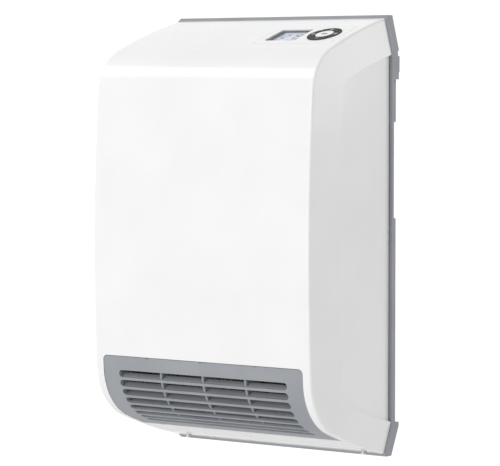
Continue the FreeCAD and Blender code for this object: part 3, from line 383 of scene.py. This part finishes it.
def circuit_board():
    """Green solder mask over a maze of copper tracks."""
    material, tree, shader = new_shader("circuit_board")
    tracks = add(tree, "TexBrick", {"Vector": place(tree), "Scale": 260.0, "Mortar Size": 0.09,
                                    "Color1": (0.012, 0.085, 0.03, 1), "Color2": (0.016, 0.10, 0.036, 1),
                                    "Mortar": (0.03, 0.19, 0.06, 1)})
    fill(tree, shader, {"Base Color": tracks.outputs["Color"], "Roughness": 0.28, "Coat Weight": 0.4})
    relief(tree, shader, summed(tree, tracks.outputs["Fac"], noise(tree, 1200, 2), 0.2), 0.03 * MM)
    return material


def component_body():
    """The dark moulded bodies of the parts on the boards."""
    material, tree, shader = new_shader("component_body")
    grain = noise(tree, 2200, 2)
    fill(tree, shader, {"Base Color": blended(tree, grain, (0.022, 0.022, 0.026), (0.04, 0.04, 0.045)),
                        "Roughness": ranged(tree, grain, 0.45, 0.62)})
    relief(tree, shader, grain, 0.03 * MM)
    return material


def natural_nylon():
    """Uncoloured nylon, slightly translucent."""
    material, tree, shader = new_shader("natural_nylon")
    cloud = ranged(tree, noise(tree, 110, 3), 0, 1)
    fill(tree, shader, {"Base Color": blended(tree, cloud, (0.66, 0.64, 0.56), (0.74, 0.72, 0.65)),
                        "Roughness": ranged(tree, noise(tree, 900, 2), 0.36, 0.5),
                        "Subsurface Weight": 0.15, "Subsurface Radius": (0.002, 0.0018, 0.0014)})
    relief(tree, shader, noise(tree, 900, 2), 0.02 * MM)
    return material


def pale_floor():
    """A plain near-white floor."""
    material, tree, shader = new_shader("pale_floor")
    cloud = noise(tree, 1.5, 4)
    fill(tree, shader, {"Base Color": blended(tree, cloud, (0.90, 0.90, 0.90), (0.93, 0.93, 0.93)),
                        "Roughness": 0.7})
    return material


MATERIALS = {
    "white": gloss_white(),
    "grey": satin_grey(),
    "charcoal": satin_charcoal(),
    "lens": clear_lens(),
    "display": liquid_crystal(),
    "galvanised": galvanised_sheet(),
    "guard_wire": coated_wire(),
    "drum": brushed("rolled_aluminium", (0.46, 0.47, 0.48), (0.62, 0.63, 0.64), (1, 8, 8), 0.38),
    "steel": brushed("ground_steel", (0.42, 0.42, 0.43), (0.60, 0.60, 0.61), (8, 1, 1), 0.3, 500),
    "bronze": sintered_bronze(),
    "rubber": moulded_rubber(),
    "stack": laminated_stack(),
    "coil": taped_coil(),
    "screw": bright_zinc(),
    "frame_plastic": black_moulding(),
    "core": finned_core(),
    "board": circuit_board(),
    "component": component_body(),
    "natural": natural_nylon(),
}
DISPLAY_INK = display_ink()
LIGHT_PRINT = pad_print("light_print", (0.62, 0.63, 0.64), (0.74, 0.75, 0.75))
GREY_PRINT = pad_print("grey_print", (0.09, 0.093, 0.097), (0.13, 0.133, 0.138))


def finish_cad_nodes():
    """Give each CAD node the material of its slot."""
    for row in frame["record"]["subparts"]:
        mesh = frame["nodes"][row["node"]].data
        mesh.materials.clear()
        mesh.materials.append(MATERIALS[row["material_slot"]])


# ---------------------------------------------------------------- printed marks


def panel_frame():
    """The control panel's frame: X right, Y up the slope, Z out of the panel, at its middle."""
    low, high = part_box("display_window")
    turn = Matrix.Rotation(TOP_SLOPE, 4, "X")
    lens_middle = Vector((0, (low.y + high.y) / 2, (low.z + high.z) / 2))
    return Matrix.Translation(lens_middle + turn @ Vector((0, 0, LENS_MIDDLE_DROP))) @ turn


PANEL = panel_frame()


def middle_x(node):
    """A node's middle along the panel; the display and the ring are both centred across it."""
    low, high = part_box(node)
    return (low.x + high.x) / 2


def capsule(start, end, width):
    """The outline of a stroke with round ends."""
    a, b = Vector(start), Vector(end)
    along = (b - a).normalized() if (b - a).length > 0 else Vector((1, 0))
    base = math.atan2(along.y, along.x)
    points = []
    for centre, first in ((b, base - math.pi / 2), (a, base + math.pi / 2)):
        for step in range(ROUND_END_STEPS + 1):
            angle = first + math.pi * step / ROUND_END_STEPS
            points.append(centre + Vector((math.cos(angle), math.sin(angle))) * width / 2)
    return points


def bevelled_segment(start, end, width):
    """A display segment: a bar whose ends come to a point."""
    a, b = Vector(start), Vector(end)
    along = (b - a).normalized()
    across = Vector((-along.y, along.x)) * width / 2
    inset = along * width / 2
    return [a, a + inset - across, b - inset - across, b, b - inset + across, a + inset + across]


def prints(name, outlines, lift, material, body):
    """Thin raised marks on the panel, each from an outline in the panel's X and Y."""
    mesh = bpy.data.meshes.new(name)
    build = bmesh.new()
    for outline in outlines:
        rings = []
        for height in (lift, lift + PRINT_THICK):
            rings.append([build.verts.new(PANEL @ Vector((p.x, p.y, height))) for p in outline])
        lower, upper = rings
        build.faces.new(upper)
        build.faces.new(lower[::-1])
        for index in range(len(outline)):
            after = (index + 1) % len(outline)
            build.faces.new((lower[index], lower[after], upper[after], upper[index]))
    build.to_mesh(mesh)
    build.free()
    mesh.materials.append(material)
    piece = bpy.data.objects.new(name, mesh)
    bpy.context.scene.collection.objects.link(piece)
    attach(piece, body)


def moved(outlines, x, y):
    """The same outlines, shifted."""
    return [[point + Vector((x, y)) for point in outline] for outline in outlines]


def ring(radius, width, start, end, parts):
    """An arc drawn as short bars, angles in degrees."""
    outlines = []
    for part in range(parts):
        angles = [math.radians(start + (end - start) * (part + side) / parts) for side in (0, 1)]
        corners = []
        for angle, out in ((angles[0], 1), (angles[1], 1), (angles[1], -1), (angles[0], -1)):
            corners.append(Vector((math.cos(angle), math.sin(angle))) * (radius + out * width / 2))
        outlines.append(corners)
    return outlines


def digit(figure, height, stroke):
    """A seven-segment digit about the origin."""
    half, gap = height * DIGIT_SHAPE / 2, stroke * SEGMENT_GAP
    top, low = height / 2, -height / 2
    ends = [
        ((-half, top), (half, top)), ((half, 0), (half, top)), ((half, low), (half, 0)),
        ((-half, low), (half, low)), ((-half, low), (-half, 0)), ((-half, 0), (-half, top)),
        ((-half, 0), (half, 0)),
    ]
    outlines = []
    for lit, (start, end) in zip(DIGITS[figure], ends):
        if lit == "1":
            along = (Vector(end) - Vector(start)).normalized() * gap
            outlines.append(bevelled_segment(Vector(start) + along, Vector(end) - along, stroke))
    return outlines


def figures(text, height, stroke, pitch):
    """Digits in a row about the middle; a point takes a small dot."""
    outlines = []
    x = -pitch * (sum(1 for mark in text if mark != ".") - 1) / 2
    for mark in text:
        if mark == ".":
            spot = (x - pitch / 2, -height / 2)
            outlines.append(capsule(spot, spot, stroke * POINT_SIZE))
            continue
        outlines += moved(digit(mark, height, stroke), x, 0)
        x += pitch
    return outlines


def make_display_marks():
    """A made-up reading: a temperature with its degree ring, a time, a sun and three bars."""
    x = middle_x("display_window")
    upper, lower = 3 * MM, -8.5 * MM
    marks = moved(figures("21.5", 11 * MM, 1.5 * MM, 7.6 * MM), x + 1.5 * MM, upper)
    marks += moved(ring(1.0 * MM, 0.5 * MM, 0, 360, CIRCLE_PARTS), x + 13.2 * MM, 7.8 * MM)
    marks += moved(figures("1020", 4 * MM, 0.6 * MM, 3.1 * MM), x + 4 * MM, lower)
    marks += moved(sun_symbol(), x - 9.5 * MM, lower)
    bar_start, bar_length, bar_pitch = x - 13 * MM, 1.8 * MM, 3 * MM
    for step in range(3):
        height = 1 * MM + step * bar_pitch
        marks.append(capsule((bar_start, height), (bar_start + bar_length, height), 0.9 * MM))
    prints("display_figures", marks, -MODULE_DROP, DISPLAY_INK, HEATER)


def sun_symbol():
    """A small ring with eight rays."""
    outlines = ring(1.3 * MM, 0.6 * MM, 0, 360, CIRCLE_PARTS)
    rays = 8
    for step in range(rays):
        angle = math.tau * step / rays
        ray = Vector((math.cos(angle), math.sin(angle)))
        outlines.append(capsule(ray * 2.2 * MM, ray * 3.0 * MM, 0.5 * MM))
    return outlines


def make_key_marks():
    """Plain symbols on the keys: more, less, standby, list and a small oval on the centre key."""
    arm = 1.7 * MM
    across = capsule((-arm, 0), (arm, 0), 0.9 * MM)
    upright = capsule((0, -arm), (0, arm), 0.9 * MM)
    standby = ring(1.6 * MM, 0.75 * MM, 125, 415, 14)
    standby.append(capsule((0, 0.4 * MM), (0, 2.4 * MM), 0.75 * MM))
    rows = [capsule((-arm, step * 1.4 * MM), (arm, step * 1.4 * MM), 0.7 * MM) for step in (-1, 0, 1)]
    for node, outlines in (("key_up", [across, upright]), ("key_down", [across]),
                           ("key_left", standby), ("key_right", rows)):
        x, y = ring_spot(node)
        prints(node + "_mark", moved(outlines, x, y), KEY_PROUD, LIGHT_PRINT, node)
    oval = moved([capsule((-1.9 * MM, 0), (1.9 * MM, 0), 3.2 * MM)], middle_x("key_centre"), 0)
    prints("key_centre_mark", oval, KEY_PROUD, GREY_PRINT, "key_centre")


def ring_spot(node):
    """The middle of a quarter-ring key's band, on the line from the centre key."""
    centre_x = middle_x("key_centre")
    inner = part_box("key_centre")[1].x - centre_x
    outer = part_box("key_right")[1].x - centre_x
    band = (inner + outer) / 2
    way_x, way_y = KEY_WAYS[node]
    return centre_x + way_x * band, way_y * band


# ---------------------------------------------------------------- studio


def make_camera():
    data = bpy.data.cameras.new("camera")
    data.lens = CAMERA_LENS
    camera = bpy.data.objects.new("camera", data)
    camera.location = CAMERA_SPOT
    camera.rotation_euler = (math.radians(90 + CAMERA_PITCH), 0, math.radians(CAMERA_YAW))
    bpy.context.scene.collection.objects.link(camera)
    bpy.context.scene.camera = camera


def soft_light(name, spot, width, height, power):
    """A rectangular light that points at the heater."""
    data = bpy.data.lights.new(name, "AREA")
    data.shape = "RECTANGLE"
    data.size = width
    data.size_y = height
    data.energy = power
    light = bpy.data.objects.new(name, data)
    light.location = spot
    light.rotation_euler = (Vector(LIGHT_AIM) - Vector(spot)).to_track_quat("-Z", "Y").to_euler()
    bpy.context.scene.collection.objects.link(light)


def make_world():
    """A plain pale surround, brightest behind the heater as the camera sees it."""
    world = bpy.data.worlds.new("studio")
    world.use_nodes = True
    bpy.context.scene.world = world
    tree = world.node_tree
    way = add(tree, "TexCoord", {}).outputs["Generated"]
    facing = add(tree, "VectorMath", {0: way, 1: BACKDROP_WAY}, operation="DOT_PRODUCT")
    lift = ranged(tree, facing.outputs["Value"], SURROUND, SURROUND + BACKDROP_LIFT,
                  LIFT_START, LIFT_FULL)
    fill(tree, tree.nodes["Background"], {"Color": (1, 1, 1, 1), "Strength": lift})


def make_floor():
    """A round pale floor well below the heater, small enough to end under the main view."""
    low = CAD_BOX[0].z - FLOOR_DROP
    mesh = bpy.data.meshes.new("floor")
    build = bmesh.new()
    bmesh.ops.create_circle(build, cap_ends=True, segments=96, radius=FLOOR_RADIUS,
                            matrix=Matrix.Translation((0, 0, low)))
    build.to_mesh(mesh)
    build.free()
    mesh.materials.append(pale_floor())
    floor = bpy.data.objects.new("floor", mesh)
    bpy.context.scene.collection.objects.link(floor)


def make_studio():
    make_world()
    make_floor()
    for name, (spot, width, height, power) in SOFT_LIGHTS.items():
        soft_light(name, spot, width, height, power)
    bpy.context.scene.view_settings.view_transform = "Standard"


finish_cad_nodes()
make_display_marks()
make_key_marks()
make_camera()
make_studio()

bpy.context.view_layer.update()
